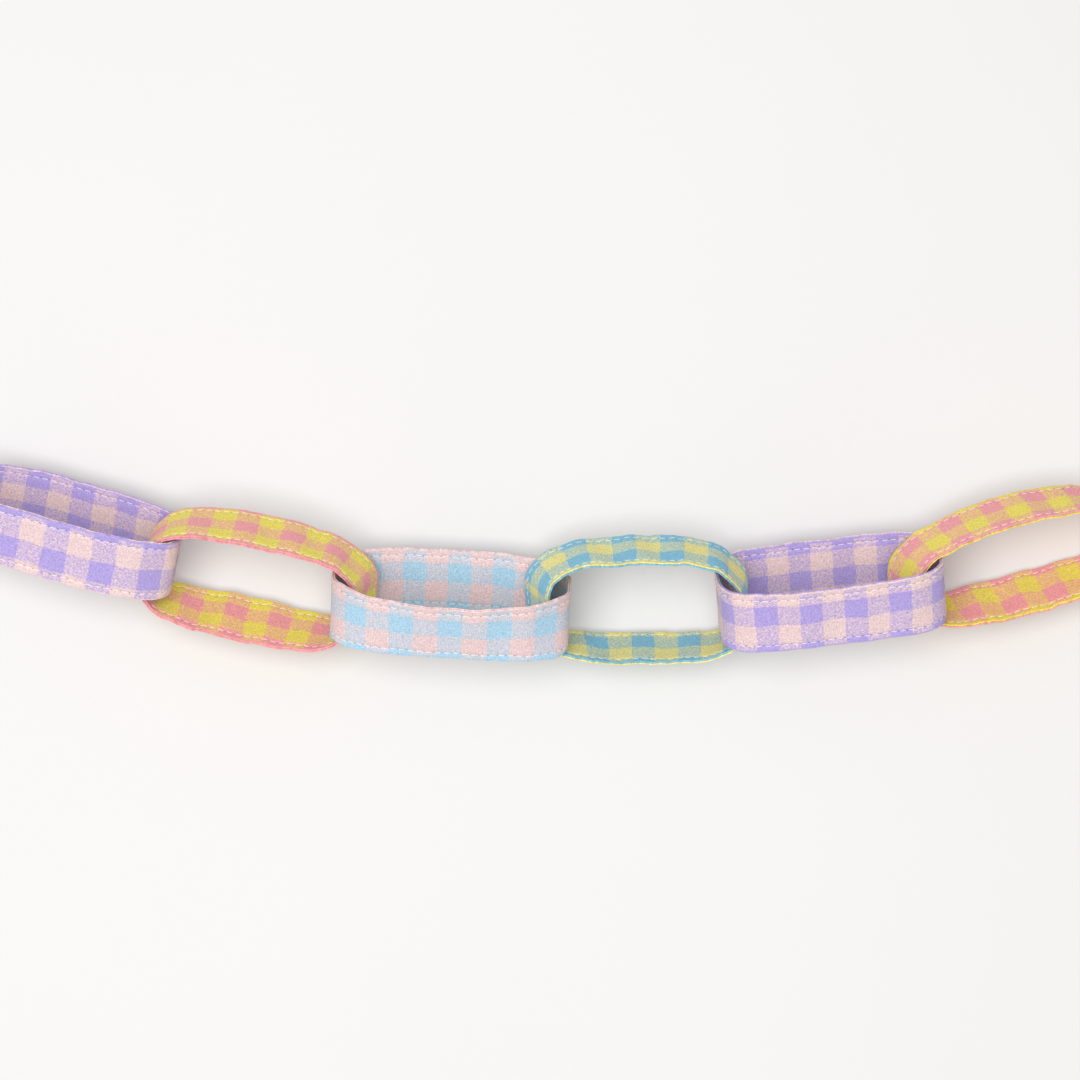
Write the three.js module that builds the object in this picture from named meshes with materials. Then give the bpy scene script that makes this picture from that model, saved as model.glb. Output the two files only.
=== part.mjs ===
// A garland of six cloth loops, linked through each other like a paper chain.
//
// Every loop is a flat band closed into a ring: an outer and an inner strip of gingham
// cotton, cut to the same width and seamed together along both long edges. The garland
// lies on a level surface at z = 0. +X runs along it, +Y lies across it and +Z is up.
// The odd loops stand on one of their long strands and lean back; the even loops lie on
// one edge. Neighbours pass through each other, turned by about a quarter turn.
//
// Units are millimetres.

import * as THREE from 'three';

// The band: two layers of cloth with a little air between them.
const STRIP_WIDTH = 27.5;
const CLOTH_THICKNESS = 0.5;
const LAYER_GAP = 0.3;
const STEPS_AROUND = 64;

// The cloths: the mean colour of each gingham's two yarns.
const LILAC_AND_ROSE = 0xccbcdd;
const PINK_AND_LIME = 0xe2b070;
const SKY_AND_ROSE = 0xcbd3e2;
const BLUE_AND_YELLOW = 0xa6bfa2;

// One entry for each loop, in order along +X. Lengths are in millimetres, angles in degrees.
//   x, y         centre of the loop, seen from above
//   rise         height of its lowest edge above the surface
//   heading      turn about the vertical
//   tilt         turn about the loop's own length: 0 would lie flat, -90 would stand up
//   pitch        how far its +X end points up
//   length       length over its two ends
//   near, far    how far its -Y and its +Y strand bow out from the line between its ends
//   nearSquare, farSquare   exponent of each half's superellipse: 2 is round, 4 is squarish
//   nearLean, farLean, endLean   lean of the strip's face at mid strand and at the two ends
//   leftFlare, rightFlare        how far the strip's upper edge is drawn in at each end
const LOOPS = [
  {
    cloth: LILAC_AND_ROSE, x: -180, y: 24.5, rise: 0, heading: -15, tilt: -69, pitch: 0,
    length: 85.5, near: 16.5, far: 28, nearSquare: 2.8, farSquare: 3.2,
    nearLean: 15, farLean: 17, endLean: 17, leftFlare: 0, rightFlare: 0,
  },
  {
    cloth: PINK_AND_LIME, x: -108.5, y: 8, rise: 4.6, heading: -12, tilt: 35, pitch: -2,
    length: 83.5, near: 20, far: 22, nearSquare: 3.7, farSquare: 3,
    nearLean: 1, farLean: -8, endLean: -17, leftFlare: 0, rightFlare: 18,
  },
  {
    cloth: SKY_AND_ROSE, x: -34, y: -4, rise: 0, heading: -3.5, tilt: -67, pitch: 0,
    length: 88.5, near: 20.5, far: 30, nearSquare: 2.1, farSquare: 3.1,
    nearLean: 25, farLean: 11, endLean: 9, leftFlare: 0, rightFlare: 0,
  },
  {
    cloth: BLUE_AND_YELLOW, x: 38, y: 0.5, rise: 4.3, heading: 0, tilt: 30.5, pitch: 0.5,
    length: 78, near: 22, far: 21.5, nearSquare: 4.2, farSquare: 2.7,
    nearLean: -7, farLean: -8, endLean: -13, leftFlare: 20, rightFlare: 7,
  },
  {
    cloth: LILAC_AND_ROSE, x: 110, y: 2.5, rise: 0, heading: 6.5, tilt: -67, pitch: 0,
    length: 84, near: 21, far: 25, nearSquare: 3.4, farSquare: 3.7,
    nearLean: 17, farLean: 14, endLean: 11, leftFlare: 0, rightFlare: 0,
  },
  {
    cloth: PINK_AND_LIME, x: 181.5, y: 17, rise: 2.2, heading: 15, tilt: 33.5, pitch: -3,
    length: 89, near: 18, far: 20.5, nearSquare: 3.2, farSquare: 2.5,
    nearLean: 0, farLean: -9, endLean: -14, leftFlare: 12, rightFlare: 0,
  },
];

const radians = THREE.MathUtils.degToRad;

// A point of the loop's middle line. Each half, near and far, is half a superellipse.
function middleLine(loop, angle) {
  const cos = Math.cos(angle);
  const sin = Math.sin(angle);
  const far = sin >= 0;
  const bow = far ? loop.far : loop.near;
  const square = far ? loop.farSquare : loop.nearSquare;
  const reach = (Math.abs(cos) ** square + Math.abs(sin) ** square) ** (-1 / square);
  return new THREE.Vector3(reach * cos * loop.length / 2, reach * sin * bow, 0);
}

// The direction of the strip's width: upright, less the lean of that stretch of the loop
// and the flare of the end that it is near.
function widthDirection(loop, angle) {
  const alongStrand = Math.sin(angle) ** 2;
  const atEnd = Math.cos(angle) ** 2;
  const strandLean = Math.sin(angle) >= 0 ? loop.farLean : loop.nearLean;
  const lean = radians(strandLean * alongStrand + loop.endLean * atEnd);
  const nearRightEnd = Math.cos(angle) >= 0;
  const endFlare = nearRightEnd ? loop.rightFlare : -loop.leftFlare;
  const flare = radians(endFlare * atEnd);
  const upright = Math.cos(flare);
  return new THREE.Vector3(-Math.sin(flare), -Math.sin(lean) * upright, Math.cos(lean) * upright);
}

// One layer of cloth as a closed band, between two distances out from the middle line.
function clothBand(loop, innerFace, outerFace) {
  const halfWidth = STRIP_WIDTH / 2;
  const corners = [
    { across: -halfWidth, out: outerFace },
    { across: halfWidth, out: outerFace },
    { across: halfWidth, out: innerFace },
    { across: -halfWidth, out: innerFace },
  ];
  const smallTurn = 1e-3;
  const points = [];
  const faces = [];
  for (let step = 0; step < STEPS_AROUND; step += 1) {
    const angle = 2 * Math.PI * (step + 0.5) / STEPS_AROUND;
    const middle = middleLine(loop, angle);
    const ahead = middleLine(loop, angle + smallTurn);
    const tangent = ahead.sub(middleLine(loop, angle - smallTurn)).normalize();
    const width = widthDirection(loop, angle);
    const outward = tangent.cross(width).normalize();
    corners.forEach((corner) => {
      const point = middle.clone().addScaledVector(width, corner.across);
      points.push(point.addScaledVector(outward, corner.out));
    });
    const ring = step * corners.length;
    const nextRing = ((step + 1) % STEPS_AROUND) * corners.length;
    corners.forEach((corner, side) => {
      const nextSide = (side + 1) % corners.length;
      const [a, b, c, d] = [ring + side, nextRing + side, nextRing + nextSide, ring + nextSide];
      // Both wide faces are split along the same diagonal, so the two layers stay parallel.
      faces.push(...(side < 2 ? [a, b, c, a, c, d] : [a, b, d, b, c, d]));
    });
  }
  const geometry = new THREE.BufferGeometry().setFromPoints(points);
  geometry.setIndex(faces);
  geometry.computeVertexNormals();
  return geometry;
}

function clothMesh(name, geometry, cloth) {
  const material = new THREE.MeshStandardMaterial({ color: cloth, roughness: 0.9, metalness: 0 });
  const mesh = new THREE.Mesh(geometry, material);
  mesh.name = name;
  return mesh;
}

// A whole loop, turned to its heading, tilt and pitch and set down at its rise.
function clothLoop(loop, number) {
  const faceOfGap = LAYER_GAP / 2;
  const face = faceOfGap + CLOTH_THICKNESS;
  const outer = clothBand(loop, faceOfGap, face);
  const inner = clothBand(loop, -face, -faceOfGap);
  const group = new THREE.Group();
  group.add(clothMesh(`link_${number}_outer_band`, outer, loop.cloth));
  group.add(clothMesh(`link_${number}_inner_band`, inner, loop.cloth));
  group.rotation.set(radians(loop.tilt), -radians(loop.pitch), radians(loop.heading), 'ZYX');
  group.position.set(loop.x, loop.y, 0);
  const box = new THREE.Box3().setFromObject(group, true);
  group.position.z = loop.rise - box.min.z;
  return group;
}

const garland = new THREE.Group();
LOOPS.forEach((loop, index) => garland.add(clothLoop(loop, index + 1)));

// The frame's origin is the middle of the garland's footprint, on the surface it lies on.
const footprint = new THREE.Box3().setFromObject(garland, true).getCenter(new THREE.Vector3());
garland.position.set(-footprint.x, -footprint.y, 0);

export default garland;
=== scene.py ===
# A garland of six sewn gingham loops, linked through each other like a paper chain and
# lying on a pale table. Lengths in the sections are in millimetres; MM turns them to metres.
import math

import bpy
import numpy as np
from mathutils import Matrix, Vector
from mathutils.bvhtree import BVHTree


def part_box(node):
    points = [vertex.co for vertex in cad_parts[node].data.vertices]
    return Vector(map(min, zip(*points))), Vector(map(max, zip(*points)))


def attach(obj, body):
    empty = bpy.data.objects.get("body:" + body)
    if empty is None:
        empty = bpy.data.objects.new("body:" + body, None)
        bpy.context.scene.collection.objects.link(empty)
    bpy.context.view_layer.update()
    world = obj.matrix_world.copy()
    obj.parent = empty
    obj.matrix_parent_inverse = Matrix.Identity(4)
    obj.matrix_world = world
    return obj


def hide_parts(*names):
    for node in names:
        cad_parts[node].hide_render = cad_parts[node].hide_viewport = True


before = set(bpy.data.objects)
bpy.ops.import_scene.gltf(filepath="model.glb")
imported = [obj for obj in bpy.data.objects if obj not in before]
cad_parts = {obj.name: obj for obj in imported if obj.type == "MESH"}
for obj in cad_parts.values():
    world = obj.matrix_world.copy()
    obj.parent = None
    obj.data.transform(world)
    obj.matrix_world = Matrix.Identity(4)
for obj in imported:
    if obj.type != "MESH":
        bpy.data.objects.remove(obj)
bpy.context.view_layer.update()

MM = 0.001
scene = bpy.context.scene


# ---------------------------------------------------------------------------------------
# Camera. A long lens looks straight down on the garland from a copy stand, its frame
# centred on the chain's length and a little towards the far side of the table.
# ---------------------------------------------------------------------------------------

CAMERA_HEIGHT = 1500
CAMERA_ACROSS = 9.1
CAMERA_ALONG = -1.4
LENS = 129.1
SENSOR = 36

camera_data = bpy.data.cameras.new("copy_stand_camera")
camera_data.lens = LENS
camera_data.sensor_width = SENSOR
camera_data.clip_end = 20
camera = bpy.data.objects.new("copy_stand_camera", camera_data)
camera.location = (CAMERA_ALONG * MM, CAMERA_ACROSS * MM, CAMERA_HEIGHT * MM)
scene.collection.objects.link(camera)
scene.camera = camera


# ---------------------------------------------------------------------------------------
# Table and light. A matt off-white sheet of card under a white tent: light comes evenly
# from all round, with one broad soft lamp high over the left half to model the folds.
# ---------------------------------------------------------------------------------------

CARD_WHITE = "#dcdbdb"
TABLE_SIZE = 5000
TENT_STRENGTH = 0.50
LAMP_PLACE = (-250, -50, 1800)
LAMP_SIZE = 1300
LAMP_POWER = 30.3


def linear(hex_colour):
    """An sRGB hex colour as linear RGB with full alpha."""
    channels = [int(hex_colour[i:i + 2], 16) / 255 for i in (1, 3, 5)]
    return [c / 12.92 if c <= 0.04045 else ((c + 0.055) / 1.055) ** 2.4 for c in channels] + [1.0]


def node(tree, kind, settings=None, **inputs):
    """Adds a node, sets its properties, and sets or links its inputs by name or number."""
    made = tree.nodes.new(kind)
    for name, value in (settings or {}).items():
        setattr(made, name, value)
    for name, value in inputs.items():
        key = int(name[1:]) if name[0] == "_" and name[1:].isdigit() else name.replace("_", " ")
        socket = made.inputs[key]
        if isinstance(value, bpy.types.NodeSocket):
            tree.links.new(value, socket)
        else:
            socket.default_value = value
    return made


def material(name, **shader):
    """A material with one Principled shader. Returns the material and the shader node."""
    made = bpy.data.materials.new(name)
    made.use_nodes = True
    made.node_tree.nodes.clear()
    principled = node(made.node_tree, "ShaderNodeBsdfPrincipled", **shader)
    output = node(made.node_tree, "ShaderNodeOutputMaterial")
    made.node_tree.links.new(principled.outputs["BSDF"], output.inputs["Surface"])
    return made, principled


# Uncoated card: fully matt, with only the faintest mottling of its pulp.
card, card_shader = material("uncoated_white_card", Roughness=0.95, Specular_IOR_Level=0.2)
tree = card.node_tree
place = node(tree, "ShaderNodeTexCoord").outputs["Object"]
pulp = node(tree, "ShaderNodeTexNoise", Vector=place, Scale=6.0, Detail=2.0)
tone = node(tree, "ShaderNodeMix", {"data_type": "RGBA"}, _0=pulp.outputs["Fac"],
            _6=linear(CARD_WHITE), _7=linear("#dedddc"))
tree.links.new(tone.outputs[2], card_shader.inputs["Base Color"])

half_table = TABLE_SIZE / 2 * MM
table_mesh = bpy.data.meshes.new("table")
corners = [(-half_table, -half_table, 0), (half_table, -half_table, 0),
           (half_table, half_table, 0), (-half_table, half_table, 0)]
table_mesh.from_pydata(corners, [], [(0, 1, 2, 3)])
table_mesh.materials.append(card)
table = bpy.data.objects.new("table", table_mesh)
scene.collection.objects.link(table)

world = bpy.data.worlds.new("white_tent")
world.use_nodes = True
tent = world.node_tree.nodes["Background"]
tent.inputs["Color"].default_value = linear("#fffefd")
tent.inputs["Strength"].default_value = TENT_STRENGTH
scene.world = world

lamp_data = bpy.data.lights.new("soft_lamp", "AREA")
lamp_data.shape = "DISK"
lamp_data.size = LAMP_SIZE * MM
lamp_data.energy = LAMP_POWER
lamp = bpy.data.objects.new("soft_lamp", lamp_data)
lamp.location = [c * MM for c in LAMP_PLACE]
lamp.rotation_euler = (-lamp.location).to_track_quat("-Z", "Y").to_euler()
scene.collection.objects.link(lamp)
scene.view_settings.view_transform = "Standard"


# ---------------------------------------------------------------------------------------
# Loops 1 and 5: lilac and rose gingham. Each is an outer and an inner strip of yarn-dyed
# cotton, folded in and topstitched together along both edges, and sewn into a ring. They
# stand on one long strand and lean back, so the near strand shows its outer face.
# ---------------------------------------------------------------------------------------

# The sewn band. Across its width: the turned-in edge folds, the line of topstitching that
# pulls the two cloths together, and the seam allowance lying flat behind it.
STRIP_WIDTH = 27.5
FACE_OUT = 0.65
SLIT_OUT = 0.05
FOLD_RADIUS = (FACE_OUT - SLIT_OUT) / 2
STITCH_INSET = 2.9
STITCH_DIP = 0.24
STITCH_PITCH = 3.4
ALLOWANCE_WIDTH = 6.5
ALLOWANCE_STEP = 0.12
NEEDLE_DIP = 0.06
GROOVE_WIDTH = 0.7
CLOSING_SEAM_DIP = 0.3
CLOSING_SEAM_WIDTH = 0.6
STEPS_AROUND = 360
TABLE_CLEARANCE = 0.05


class Loop:
    """One loop's form: a ring of two half superellipses, turned and set where its nodes are."""

    def __init__(self, number, form, ripple, seed):
        self.form = form
        self.nodes = [f"link_{number}_outer_band", f"link_{number}_inner_band"]
        self.turn = self.turned()
        self.place = np.zeros(3)
        self.arc_table()
        self.place = self.settled()
        self.waves = self.drawn_waves(ripple, np.random.default_rng(seed))
        self.room = self.room_to_neighbours()

    def turned(self):
        f = self.form
        heading = Matrix.Rotation(math.radians(f["heading"]), 3, "Z")
        pitch = Matrix.Rotation(-math.radians(f["pitch"]), 3, "Y")
        tilt = Matrix.Rotation(math.radians(f["tilt"]), 3, "X")
        return np.array(heading @ pitch @ tilt)

    def middle_line(self, angle):
        f = self.form
        cos, sin = np.cos(angle), np.sin(angle)
        bow = np.where(sin >= 0, f["far"], f["near"])
        square = np.where(sin >= 0, f["far_square"], f["near_square"])
        reach = (np.abs(cos) ** square + np.abs(sin) ** square) ** (-1 / square)
        return np.stack([reach * cos * f["length"] / 2, reach * sin * bow, 0 * angle], -1)

    def width_direction(self, angle):
        f = self.form
        along_strand = np.sin(angle) ** 2
        at_end = np.cos(angle) ** 2
        strand_lean = np.where(np.sin(angle) >= 0, f["far_lean"], f["near_lean"])
        lean = np.radians(strand_lean * along_strand + f["end_lean"] * at_end)
        end_flare = np.where(np.cos(angle) >= 0, f["right_flare"], -f["left_flare"])
        flare = np.radians(end_flare * at_end)
        upright = np.cos(flare)
        return np.stack([-np.sin(flare), -np.sin(lean) * upright, np.cos(lean) * upright], -1)

    def outward(self, angle):
        ahead = self.middle_line(angle + 1e-3) - self.middle_line(angle - 1e-3)
        out = np.cross(ahead, self.width_direction(angle))
        return out / np.linalg.norm(out, axis=-1, keepdims=True)

    def arc_table(self):
        """Angle against length sewn, both starting at the closing seam at the -X end."""
        self.table_angle = np.linspace(math.pi, 3 * math.pi, 4001)
        line = self.middle_line(self.table_angle)
        steps = np.linalg.norm(np.diff(line, axis=0), axis=1)
        self.table_sewn = np.concatenate([[0], np.cumsum(steps)])
        self.around = self.table_sewn[-1]
        self.stitch_count = round(self.around / STITCH_PITCH)
        self.stitch_pitch = self.around / self.stitch_count

    def plain(self, sewn, across, out):
        """A point of the unrippled band, from its length sewn, place across and height out."""
        angle = np.interp(np.mod(sewn, self.around), self.table_sewn, self.table_angle)
        point = self.middle_line(angle)
        point = point + self.width_direction(angle) * across[..., None]
        point = point + self.outward(angle) * out[..., None]
        return point @ self.turn.T + self.place

    def settled(self):
        """The place that puts this loop's box in the middle of the box of its two nodes."""
        sewn, across, out = np.meshgrid(
            np.linspace(0, self.around, 721), [-STRIP_WIDTH / 2, STRIP_WIDTH / 2],
            [-FACE_OUT, FACE_OUT], indexing="ij")
        points = self.plain(sewn, across, out).reshape(-1, 3)
        lows, highs = zip(*[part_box(name) for name in self.nodes])
        target = (np.min(lows, axis=0) + np.max(highs, axis=0)) / 2 / MM
        return target - (points.min(axis=0) + points.max(axis=0)) / 2

    def drawn_waves(self, ripple, rng):
        """Cosines around the loop, as (count, phase, height), for each kind of unevenness."""
        def cosines(low, high, height):
            counts = np.arange(low, high + 1)
            heights = rng.normal(0, 1, len(counts))
            heights *= height / math.sqrt((heights ** 2).sum() / 2)
            return list(zip(counts, rng.uniform(0, 2 * math.pi, len(counts)), heights))
        return {
            "ripple": cosines(9, 14, ripple),
            "low_edge": cosines(8, 22, 0.25 * ripple),
            "high_edge": cosines(8, 22, 0.25 * ripple),
            "low_pucker": cosines(26, 44, 0.08),
            "high_pucker": cosines(26, 44, 0.08),
            "low_wander": cosines(4, 26, 0.14),
            "high_wander": cosines(4, 26, 0.14),
            "drift": cosines(1, 4, 0.3),
        }

    def wave(self, name, sewn):
        total = 0 * sewn
        for count, phase, height in self.waves[name]:
            total = total + height * np.cos(2 * math.pi * count * sewn / self.around + phase)
        return total

    def room_to_neighbours(self):
        """Clear distance from this loop's band to every other loop, over a grid around it."""
        others = []
        for name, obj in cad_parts.items():
            if name not in self.nodes:
                others.append(BVHTree.FromPolygons(
                    [v.co.copy() for v in obj.data.vertices],
                    [tuple(p.vertices) for p in obj.data.polygons]))
        sewn = np.arange(180) / 180 * self.around
        across = np.linspace(-STRIP_WIDTH / 2, STRIP_WIDTH / 2, 9)
        grid = np.full((len(sewn), len(across)), 20.0)
        for out in (-FACE_OUT, FACE_OUT):
            points = self.plain(*np.broadcast_arrays(sewn[:, None], across[None, :], out)) * MM
            for i, j in np.ndindex(grid.shape):
                for tree in others:
                    hit = tree.find_nearest(Vector(points[i, j]), grid[i, j] * MM)
                    if hit[3] is not None:
                        grid[i, j] = min(grid[i, j], hit[3] / MM)
        return grid

    def lift(self, sewn, across):
        """How far the whole band bulges out at a point, kept clear of the other loops."""
        side = across / (STRIP_WIDTH / 2)
        low = np.clip(-side, 0, 1) ** 1.5
        high = np.clip(side, 0, 1) ** 1.5
        bulge = self.wave("ripple", sewn + 1.5 * side) * (1 - 0.75 * (low + high))
        bulge = bulge + self.wave("drift", sewn)
        bulge = bulge + self.wave("low_edge", sewn) * low + self.wave("high_edge", sewn) * high
        near_stitches = np.exp(-((np.abs(across) - STRIP_WIDTH / 2 + 2) / 2.6) ** 2)
        pucker = np.where(side < 0, self.wave("low_pucker", sewn), self.wave("high_pucker", sewn))
        bulge = bulge + pucker * near_stitches
        rows, columns = self.room.shape
        u = np.mod(sewn / self.around, 1) * rows
        v = np.clip((side + 1) / 2 * (columns - 1), 0, columns - 1.001)
        i, j = np.floor(u).astype(int) % rows, np.floor(v).astype(int)
        fu, fv = u - np.floor(u), v - j
        near, far = self.room[i], self.room[(i + 1) % rows]
        index = np.arange(len(np.ravel(j)))

        def pick(table, k):
            return table.reshape(-1, columns)[index, np.ravel(k)].reshape(j.shape)

        room = ((1 - fu) * ((1 - fv) * pick(near, j) + fv * pick(near, j + 1))
                + fu * ((1 - fv) * pick(far, j) + fv * pick(far, j + 1)))
        limit = np.clip(0.42 * (room - 0.4), 0.01, 4.0)
        return limit * np.tanh(bulge / limit)

    def surface(self, sewn, across, out):
        """A point of the finished cloth, in millimetres."""
        side = across / (STRIP_WIDTH / 2)
        wander = np.where(side < 0, self.wave("low_wander", sewn), self.wave("high_wander", sewn))
        moved = across + wander * np.abs(side) ** 6
        point = self.plain(sewn, moved, out + self.lift(sewn, across))
        point[..., 2] = np.maximum(point[..., 2], TABLE_CLEARANCE)
        return point


def face_height(loop, inset, sewn):
    """Height of a cloth's visible face out from the band's middle, from its nearest edge."""
    hole = NEEDLE_DIP * np.cos(2 * math.pi * sewn / loop.stitch_pitch)
    groove = (STITCH_DIP + hole) * np.exp(-((inset - STITCH_INSET) / GROOVE_WIDTH) ** 2)
    field = ALLOWANCE_STEP * np.clip((inset - ALLOWANCE_WIDTH + 0.8) / 1.6, 0, 1)
    from_seam = np.minimum(np.mod(sewn, loop.around), np.mod(-sewn, loop.around))
    seam = CLOSING_SEAM_DIP * np.exp(-(from_seam / CLOSING_SEAM_WIDTH) ** 2)
    return FACE_OUT - groove - field - seam


EDGE_INSETS = (0, 0.04, 0.12, 0.21, 0.34, 0.8, 1.3, 1.75, 2.1, 2.4, 2.65, 2.9, 3.15, 3.4, 3.75,
               4.2, 4.8)
BACK_INSETS = (0.04, 0.12, 0.21, 0.34, 3.0, 7.0, 10.5)
FIELD_STEP = 0.78


def cloth_layer(loop, name, side):
    """One folded strip as a closed shell. side is 1 for the outer strip, -1 for the inner."""
    half = STRIP_WIDTH / 2
    field_count = round((half - EDGE_INSETS[-1]) / FIELD_STEP)
    insets = list(EDGE_INSETS) + list(np.linspace(EDGE_INSETS[-1], half, field_count + 1)[1:])
    face_inset = np.array(insets + insets[-2::-1])
    face_side = np.array([-1] * len(insets) + [1] * (len(insets) - 1))
    back_inset = np.array(list(BACK_INSETS) + [half] + list(BACK_INSETS[::-1]))
    back_side = np.array([1] * (len(BACK_INSETS) + 1) + [-1] * len(BACK_INSETS))
    inset = np.concatenate([face_inset, back_inset])
    across = np.concatenate([face_side * (half - face_inset), back_side * (half - back_inset)])
    on_face = np.arange(len(inset)) < len(face_inset)
    sewn = np.arange(STEPS_AROUND) / STEPS_AROUND * loop.around
    inset, sewn_grid = np.meshgrid(inset, sewn)
    across = np.broadcast_to(across, inset.shape)
    fold = np.sqrt(np.clip(1 - (1 - np.clip(inset / FOLD_RADIUS, 0, 1)) ** 2, 0, 1))
    fold_middle = (FACE_OUT + SLIT_OUT) / 2
    face = fold_middle + (face_height(loop, inset, sewn_grid) - fold_middle) * fold
    back = fold_middle - FOLD_RADIUS * fold
    out = side * np.where(on_face, face, back)
    points = loop.surface(sewn_grid, across, out) * MM
    rows, columns = inset.shape
    faces, strip = [], []
    for i in range(rows):
        for j in range(columns):
            i2, j2 = (i + 1) % rows, (j + 1) % columns
            ring = [i * columns + j, i2 * columns + j, i2 * columns + j2, i * columns + j2]
            spot = [(i, j), (i + 1, j), (i + 1, j2), (i, j2)]
            if side < 0:
                ring.reverse()
                spot.reverse()
            faces.append(ring)
            strip.extend((k / rows * loop.around, across[0, m]) for k, m in spot)
    mesh = bpy.data.meshes.new(name)
    mesh.from_pydata(points.reshape(-1, 3).tolist(), [], faces)
    layer = mesh.uv_layers.new(name="strip")
    layer.data.foreach_set("uv", np.array(strip, dtype=np.float32).ravel())
    mesh.shade_smooth()
    made = bpy.data.objects.new(name, mesh)
    scene.collection.objects.link(made)
    return made


# The topstitching: cream sewing thread, each stitch arching from one needle hole to the next.
THREAD_RADIUS = 0.13
STITCH_GAP = 0.8
STITCH_SUNK = 0.30
RINGS_PER_STITCH = 7
SIDES_OF_THREAD = 6


def topstitching(loop, name, side):
    """Both rows of stitches on one face of the band, each stitch a small closed tube."""
    rings, around = RINGS_PER_STITCH, SIDES_OF_THREAD
    t = np.linspace(0, 1, rings)
    turn = np.arange(around) / around * 2 * math.pi
    points, faces = [], []
    for edge in (-1, 1):
        across = edge * (STRIP_WIDTH / 2 - STITCH_INSET)
        for k in range(loop.stitch_count):
            sewn = k * loop.stitch_pitch + STITCH_GAP / 2 + (loop.stitch_pitch - STITCH_GAP) * t
            sunk = STITCH_SUNK * (1 - np.sin(math.pi * t) ** 0.5)
            height = FACE_OUT - STITCH_DIP + THREAD_RADIUS * 0.7 - sunk
            radius = THREAD_RADIUS * (0.65 + 0.35 * np.sin(math.pi * t) ** 0.5)
            grid = np.broadcast_arrays(
                sewn[:, None],
                across + radius[:, None] * np.cos(turn)[None, :],
                side * (height[:, None] + radius[:, None] * np.sin(turn)[None, :]))
            first = len(points)
            points.extend(loop.surface(*grid).reshape(-1, 3) * MM)
            for i in range(rings - 1):
                for j in range(around):
                    j2 = (j + 1) % around
                    ring = [first + i * around + j, first + (i + 1) * around + j,
                            first + (i + 1) * around + j2, first + i * around + j2]
                    faces.append(ring if side < 0 else ring[::-1])
            low = [first + j for j in range(around)]
            high = [first + (rings - 1) * around + j for j in range(around)]
            faces.append(low[::-1] if side > 0 else low)
            faces.append(high if side > 0 else high[::-1])
    mesh = bpy.data.meshes.new(name)
    mesh.from_pydata(points, [], faces)
    mesh.materials.append(sewing_thread)
    mesh.shade_smooth()
    made = bpy.data.objects.new(name, mesh)
    scene.collection.objects.link(made)
    return made


# Cream cotton sewing thread: soft, slightly brighter where the plies turn up to the light.
sewing_thread, thread_shader = material(
    "cream_cotton_thread", Roughness=0.75, Specular_IOR_Level=0.35, Sheen_Weight=0.2)
tree = sewing_thread.node_tree
place = node(tree, "ShaderNodeTexCoord").outputs["Object"]
plies = node(tree, "ShaderNodeTexNoise", Vector=place, Scale=2500.0, Detail=1.0)
tone = node(tree, "ShaderNodeMix", {"data_type": "RGBA"}, _0=plies.outputs["Fac"],
            _6=linear("#e2d9d0"), _7=linear("#fffaf2"))
tree.links.new(tone.outputs[2], thread_shader.inputs["Base Color"])

# Real gingham has about 26 threads to the centimetre, 0.38 mm apart. They are drawn a
# little coarser here so that they show.
THREAD_SPACING = 0.58
YARN_WANDER = 1.6
STRIPE_BLUR = 0.12
WEAVE_RELIEF = 0.12
HOLE_RADIUS = 0.32
HOLE_SHADE = 0.45
# Noise counts to the millimetre: slubs along and across a yarn, mixed yarns, loose fibre.
WANDER_SCALE = 0.14
SLUB_ALONG = 0.4
SLUB_ACROSS = 2.2
JUMBLE_SCALE = 1.0
NAP_SCALE = 1.2


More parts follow.
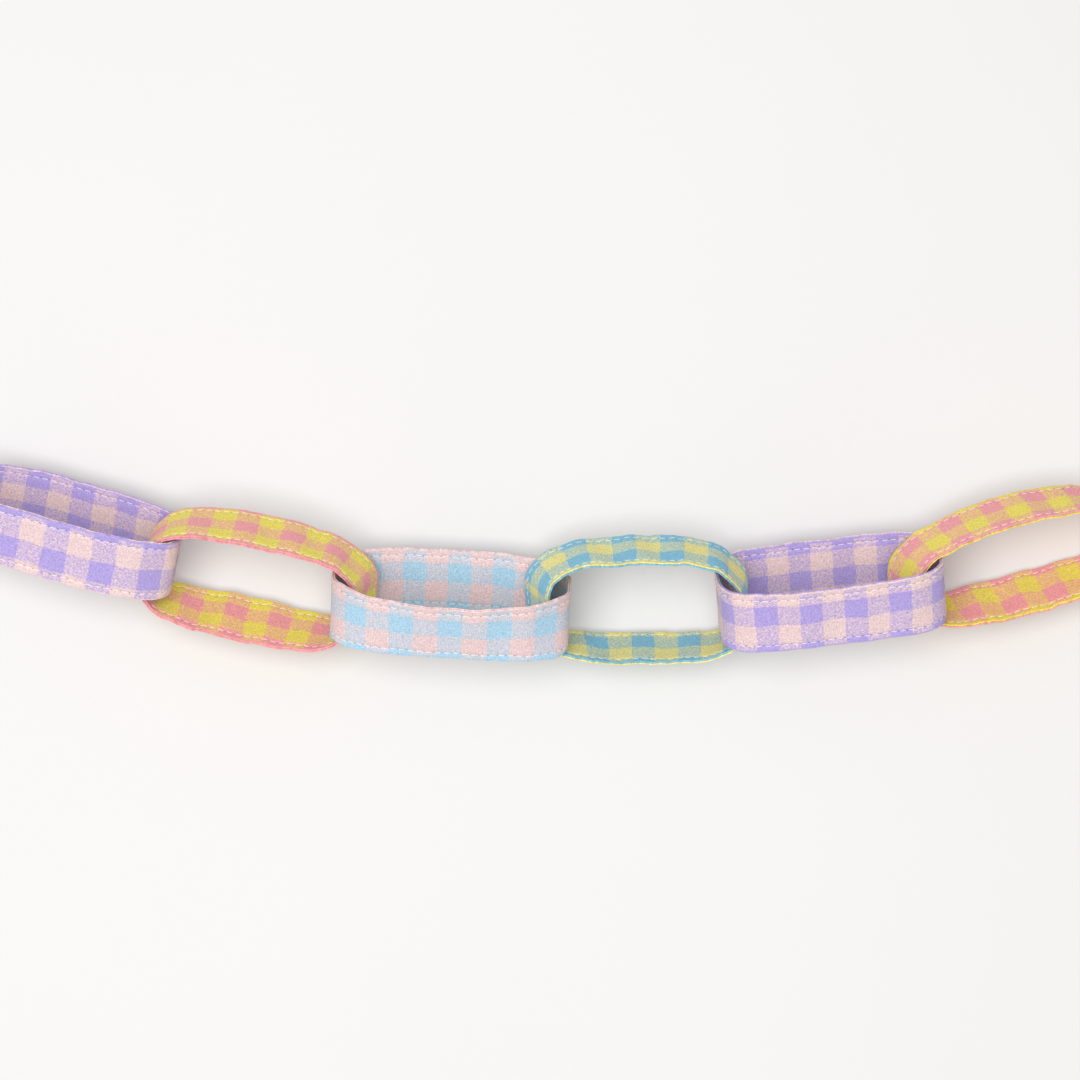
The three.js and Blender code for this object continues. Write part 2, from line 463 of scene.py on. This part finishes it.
def gingham(name, yarns, check, start, stitch_pitch):
    """Yarn-dyed plain weave: even stripes of two yarns both ways, so each crossing shows one.

    check is the size of a check along and across the strip, and start is where a stripe of
    the first yarn begins, along from the closing seam and across from the middle.
    """
    strong, pale = yarns
    made, shader = material(name, Roughness=0.9, Specular_IOR_Level=0.25, Sheen_Weight=0.15,
                            Sheen_Roughness=0.5)
    tree = made.node_tree

    def math_node(operation, a, b=0.0, c=0.0):
        return node(tree, "ShaderNodeMath", {"operation": operation}, _0=a, _1=b, _2=c).outputs[0]

    def between(low, high, value):
        return node(tree, "ShaderNodeMapRange", {"interpolation_type": "SMOOTHSTEP"}, Value=value,
                    From_Min=low, From_Max=high).outputs[0]

    def mixed(share, a, b):
        return node(tree, "ShaderNodeMix", {"data_type": "RGBA"}, _0=share, _6=a, _7=b).outputs[2]

    strip = node(tree, "ShaderNodeUVMap", {"uv_map": "strip"}).outputs["UV"]
    # Sewn and turned cloth is never quite square: its yarns wander by half a millimetre.
    wander = node(tree, "ShaderNodeTexNoise", Vector=strip, Scale=WANDER_SCALE,
                  Detail=3.0)
    shift = node(tree, "ShaderNodeVectorMath", {"operation": "SUBTRACT"},
                 _0=wander.outputs["Color"], _1=(0.5, 0.5, 0.5))
    woven_place = node(tree, "ShaderNodeVectorMath", {"operation": "MULTIPLY_ADD"},
                       _0=shift.outputs[0], _1=(YARN_WANDER, YARN_WANDER, 0.0),
                       _2=strip)
    parts = node(tree, "ShaderNodeSeparateXYZ", Vector=woven_place.outputs[0])

    dyed, crests = [], []
    for axis, size, first in zip("XY", check, start):
        place = parts.outputs[axis]
        stripe = math_node("PINGPONG", math_node("SUBTRACT", place, first + size / 2), size)
        share = between(size / 2 + STRIPE_BLUR, size / 2 - STRIPE_BLUR, stripe)
        # Slubs: each yarn thickens and pales a little along its own length.
        runs_along = axis == "Y"
        grain = (SLUB_ALONG, SLUB_ACROSS, 0) if runs_along else (SLUB_ACROSS, SLUB_ALONG, 0)
        stretched = node(tree, "ShaderNodeVectorMath", {"operation": "MULTIPLY"},
                         _0=woven_place.outputs[0], _1=grain)
        slub = node(tree, "ShaderNodeTexNoise", Vector=stretched.outputs[0], Scale=1.0,
                    Detail=2.0, Roughness=0.7)
        light = node(tree, "ShaderNodeMapRange", Value=slub.outputs["Fac"], From_Min=0.25,
                     From_Max=0.75, To_Min=0.74, To_Max=1.22)
        colour = mixed(share, linear(pale), linear(strong))
        scaled = node(tree, "ShaderNodeVectorMath", {"operation": "SCALE"}, _0=colour,
                      Scale=light.outputs[0])
        dyed.append(scaled.outputs[0])
        crests.append(math_node("SINE", math_node("MULTIPLY", place, math.pi / THREAD_SPACING)))
    crossing = math_node("MULTIPLY", crests[0], crests[1])
    # Uneven yarn lets one colour crowd out the other, so the mixed squares look heathered.
    jumble = node(tree, "ShaderNodeTexNoise", Vector=strip, Scale=JUMBLE_SCALE,
                  Detail=2.0, Roughness=0.7)
    crowd = math_node("MULTIPLY_ADD", jumble.outputs["Fac"], 4.4, -2.2)
    heathered = between(-0.9, 0.9, math_node("MULTIPLY_ADD", crossing, 0.6, crowd))
    # A folded edge shows only the yarns that run along it, as one clean line of colour.
    flat = node(tree, "ShaderNodeSeparateXYZ", Vector=strip)
    from_middle = math_node("ABSOLUTE", flat.outputs["Y"])
    off_fold = between(STRIP_WIDTH / 2 - 0.4, STRIP_WIDTH / 2 - 0.9, from_middle)
    over = math_node("MULTIPLY", heathered, off_fold)
    woven = mixed(over, dyed[1], dyed[0])
    # Painted shade: the gaps between threads sit in shade, so the cloth's colour is darkened
    # there.
    ridge = math_node("ABSOLUTE", crossing)
    painted_gap_shade = node(tree, "ShaderNodeMapRange", Value=ridge, From_Min=0.0, From_Max=0.5,
                      To_Min=0.84, To_Max=1.03)
    # The nap: loose fibre ends that fleck the cloth lighter and darker, about 0.8 mm apart.
    nap = node(tree, "ShaderNodeTexNoise", Vector=strip, Scale=NAP_SCALE, Detail=3.0,
               Roughness=0.85)
    fleck = node(tree, "ShaderNodeMapRange", Value=nap.outputs["Fac"], From_Min=0.3,
                 From_Max=0.7, To_Min=0.76, To_Max=1.24)
    # Painted shade: needle holes stay open at both ends of every stitch, and the shade inside
    # them is painted into the cloth as a dark spot.
    along_hole = math_node("PINGPONG", flat.outputs["X"], stitch_pitch / 2)
    row = STRIP_WIDTH / 2 - STITCH_INSET
    across_hole = math_node("SUBTRACT", from_middle, row)
    distance = math_node("SQRT", math_node("ADD", math_node("MULTIPLY", along_hole, along_hole),
                                           math_node("MULTIPLY", across_hole, across_hole)))
    hole = node(tree, "ShaderNodeMapRange", {"interpolation_type": "SMOOTHSTEP"}, Value=distance,
                From_Min=0.4 * HOLE_RADIUS, From_Max=HOLE_RADIUS, To_Min=HOLE_SHADE, To_Max=1.0)
    light = math_node("MULTIPLY", math_node("MULTIPLY", painted_gap_shade.outputs[0], fleck.outputs[0]),
                      hole.outputs[0])
    shaded = node(tree, "ShaderNodeVectorMath", {"operation": "SCALE"}, _0=woven, Scale=light)
    tree.links.new(shaded.outputs[0], shader.inputs["Base Color"])
    bump = node(tree, "ShaderNodeBump", Height=ridge, Strength=0.35, Distance=WEAVE_RELIEF * MM)
    tree.links.new(bump.outputs[0], shader.inputs["Normal"])
    return made


def sewn_loop(number, slot, yarns, form, ripple, outer, inner):
    """Makes one loop: two cloth layers and the stitches on each, attached to the root body.

    outer and inner give each cloth's check size and the start of its first stripe.
    """
    loop = Loop(number, form, ripple, seed=40 + number)
    for layer, side, (check, start) in (("outer", 1, outer), ("inner", -1, inner)):
        piece = cloth_layer(loop, f"link_{number}_{layer}_cloth", side)
        cloth = gingham(f"{slot}_{number}_{layer}", yarns, check, start, loop.stitch_pitch)
        piece.data.materials.append(cloth)
        stitches = topstitching(loop, f"link_{number}_{layer}_topstitch", side)
        for made in (piece, stitches):
            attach(made, "root")
        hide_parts(f"link_{number}_{layer}_band")


LILAC = "#af9fdb"
ROSE = "#e5caca"
STANDING_RIPPLE = 0.25

sewn_loop(
    1, "lilac_rose_gingham", (LILAC, ROSE),
    dict(heading=-15, tilt=-69, pitch=0, length=85.5, near=16.5, far=28,
         near_square=2.8, far_square=3.2, near_lean=15, far_lean=17, end_lean=17,
         left_flare=0, right_flare=0),
    STANDING_RIPPLE, outer=((9.3, 9.8), (8.9, -9.0)), inner=((9.0, 8.0), (13.6, 5.6)))
sewn_loop(
    5, "lilac_rose_gingham", (LILAC, ROSE),
    dict(heading=6.5, tilt=-67, pitch=0, length=84, near=21, far=25,
         near_square=3.4, far_square=3.7, near_lean=17, far_lean=14, end_lean=11,
         left_flare=0, right_flare=0),
    STANDING_RIPPLE, outer=((8.4, 9.2), (7.8, -1.2)), inner=((8.55, 8.6), (2.1, -8.6)))


# ---------------------------------------------------------------------------------------
# Loops 2 and 6: pink and lime gingham, sewn the same way. They lie on one edge, tilted up
# towards the far side, so the far strand shows its outer face and the near one its inner.
# ---------------------------------------------------------------------------------------

PINK = "#ef9ea2"
LIME = "#ebda5c"
LYING_RIPPLE = 0.45

sewn_loop(
    2, "pink_lime_gingham", (PINK, LIME),
    dict(heading=-12, tilt=35, pitch=-2, length=83.5, near=20, far=22,
         near_square=3.7, far_square=3, near_lean=1, far_lean=-8, end_lean=-17,
         left_flare=0, right_flare=18),
    LYING_RIPPLE, outer=((8.85, 8.0), (6.2, -4.0)), inner=((8.55, 8.0), (11.1, -6.8)))
sewn_loop(
    6, "pink_lime_gingham", (PINK, LIME),
    dict(heading=15, tilt=33.5, pitch=-3, length=89, near=18, far=20.5,
         near_square=3.2, far_square=2.5, near_lean=0, far_lean=-9, end_lean=-14,
         left_flare=12, right_flare=0),
    LYING_RIPPLE, outer=((8.25, 9.5), (0.2, 7.3)), inner=((8.4, 9.8), (11.9, 0.6)))


# ---------------------------------------------------------------------------------------
# Loop 3: sky blue and rose gingham, standing and leaning back like loops 1 and 5. It is
# the slackest loop: its near strand swings forward in a long round curve.
# ---------------------------------------------------------------------------------------

SKY = "#abd0e5"

sewn_loop(
    3, "sky_rose_gingham", (SKY, ROSE),
    dict(heading=-3.5, tilt=-67, pitch=0, length=88.5, near=20.5, far=30,
         near_square=2.1, far_square=3.1, near_lean=25, far_lean=11, end_lean=9,
         left_flare=0, right_flare=0),
    STANDING_RIPPLE, outer=((9.15, 9.2), (12.6, -1.6)), inner=((8.7, 8.6), (6.0, -1.0)))


# ---------------------------------------------------------------------------------------
# Loop 4: blue and yellow gingham, lying on one edge like loops 2 and 6, in the middle of
# the chain. Its cloth is the most puckered, with ripples about two checks long.
# ---------------------------------------------------------------------------------------

BLUE = "#7cbdd8"
YELLOW = "#e7e090"

sewn_loop(
    4, "blue_yellow_gingham", (BLUE, YELLOW),
    dict(heading=0, tilt=30.5, pitch=0.5, length=78, near=22, far=21.5,
         near_square=4.2, far_square=2.7, near_lean=-7, far_lean=-8, end_lean=-13,
         left_flare=20, right_flare=7),
    LYING_RIPPLE, outer=((9.0, 8.9), (17.0, 1.9)), inner=((8.85, 9.8), (15.9, -9.0)))
